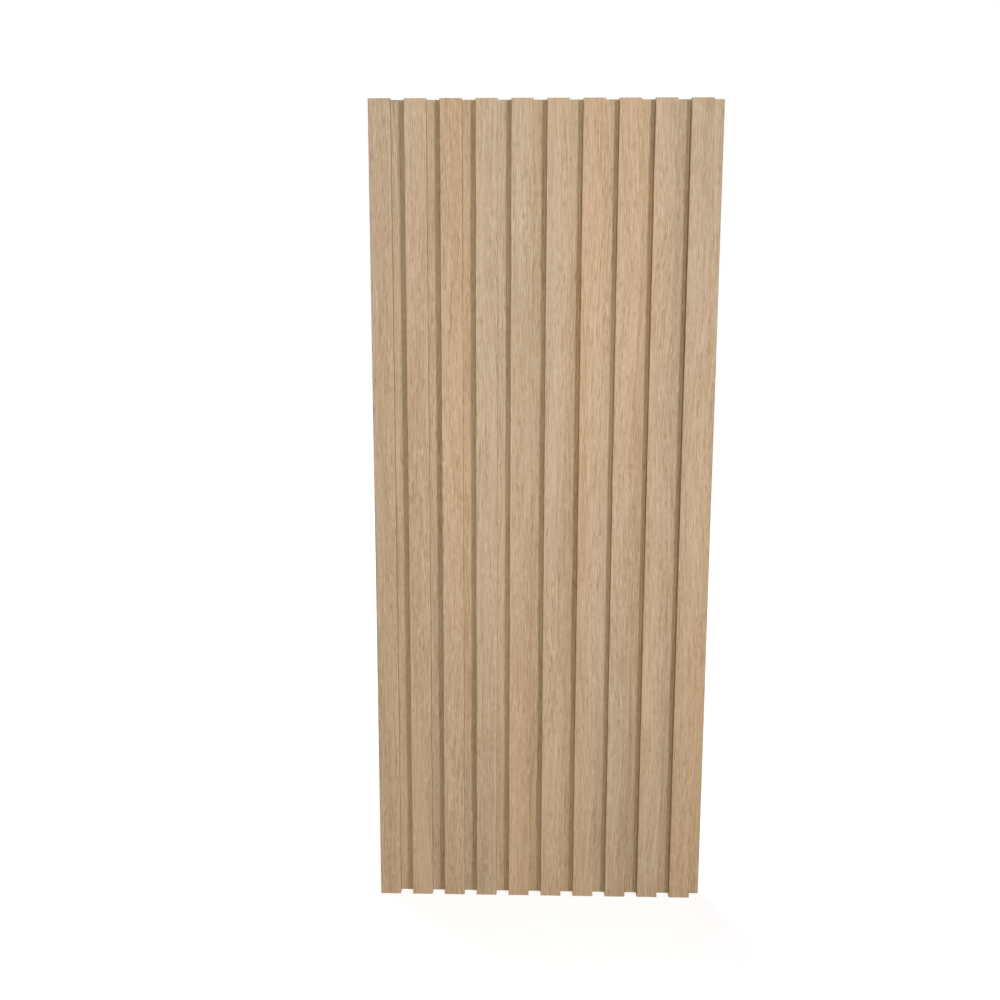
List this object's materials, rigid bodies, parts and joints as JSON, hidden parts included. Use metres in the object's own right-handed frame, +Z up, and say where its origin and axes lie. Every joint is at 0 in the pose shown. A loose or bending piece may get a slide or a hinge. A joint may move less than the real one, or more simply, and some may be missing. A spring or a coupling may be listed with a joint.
{
  "type": "three-dimensional wall panel",
  "caption": "Upright slatted wall panel in pale oak: one profiled board with square slats and grooves across its front, an open groove along its right edge and a flat back to fix to a wall.",
  "frame": {"origin": "middle of the flat back, where the panel meets the wall", "axes": "+Z up along the slats, +X across the slats to the right as a person in the room sees them, +Y into the wall, so the slats face -Y"},
  "size_m": [0.398, 0.018, 0.955],
  "materials": {
    "oak": "pale oak with fine upright grain, matt"
  },
  "bodies": {
    "root": {"slatted_panel": "oak"}
  },
  "joints": []
}
